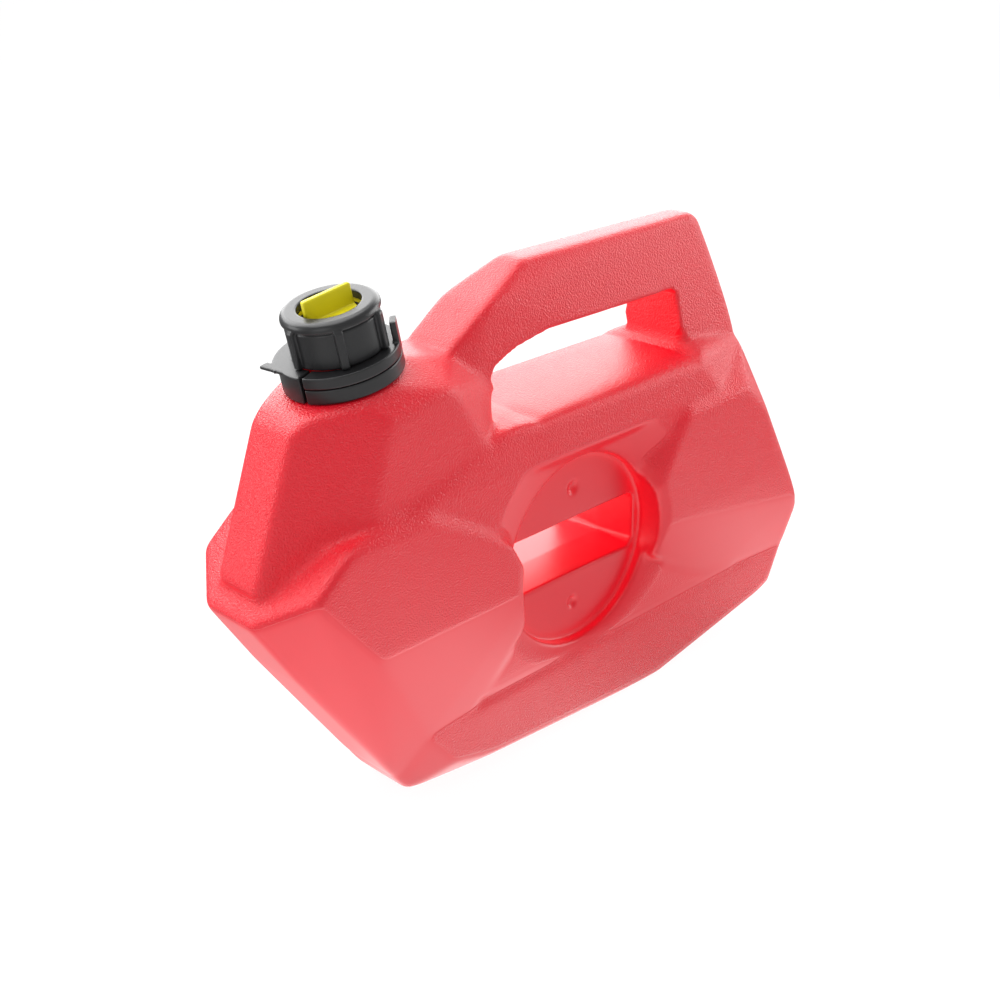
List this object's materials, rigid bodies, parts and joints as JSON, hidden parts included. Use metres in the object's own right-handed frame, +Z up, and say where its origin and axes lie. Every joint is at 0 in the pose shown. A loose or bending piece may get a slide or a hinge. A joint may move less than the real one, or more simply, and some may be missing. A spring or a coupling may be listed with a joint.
{
  "type": "fuel jerrycan",
  "caption": "Flat red moulded fuel can, about five litres, with a grip, a round lock recess with a slot, and a black latched screw cap with a yellow winged stopper.",
  "frame": {"origin": "on the ground, under the centre of the tank's box", "axes": "+X along the length, away from the neck; +Y across the thickness; +Z up"},
  "size_m": [0.444, 0.098, 0.3046],
  "materials": {
    "red_plastic": "pebbled satin",
    "black_plastic": "satin",
    "yellow_plastic": "satin",
    "seal_rubber": "matte"
  },
  "bodies": {
    "tank_body": {"tank_shell": "red_plastic", "neck_gasket": "seal_rubber", "spout": "yellow_plastic", "lock_collar": "black_plastic"},
    "latch": {"latch_ring": "black_plastic"},
    "stopper_body": {"stopper": "yellow_plastic", "stopper_gasket": "seal_rubber"},
    "nut": {"screw_nut": "black_plastic"}
  },
  "joints": [
    {"name": "latch_press", "type": "slide", "parent": "tank_body", "child": "latch", "axis": [0.9799, 0, 0.1994], "range_m": [0, 0.002], "stiffness_N_per_m": 1500},
    {"name": "cap_lift", "type": "slide", "parent": "tank_body", "child": "stopper_body", "axis": [-0.1994, 0, 0.9799], "range_m": [0, 0.01]},
    {"name": "cap_turn", "type": "hinge", "parent": "stopper_body", "child": "nut", "pos_m": [-0.1357, 0, 0.2562], "axis": [-0.1994, 0, 0.9799], "range_deg": [0, 900]}
  ],
  "couplings": [
    {"joint": "cap_turn", "follows": "cap_lift", "rad_per_m": 1570.7}
  ]
}
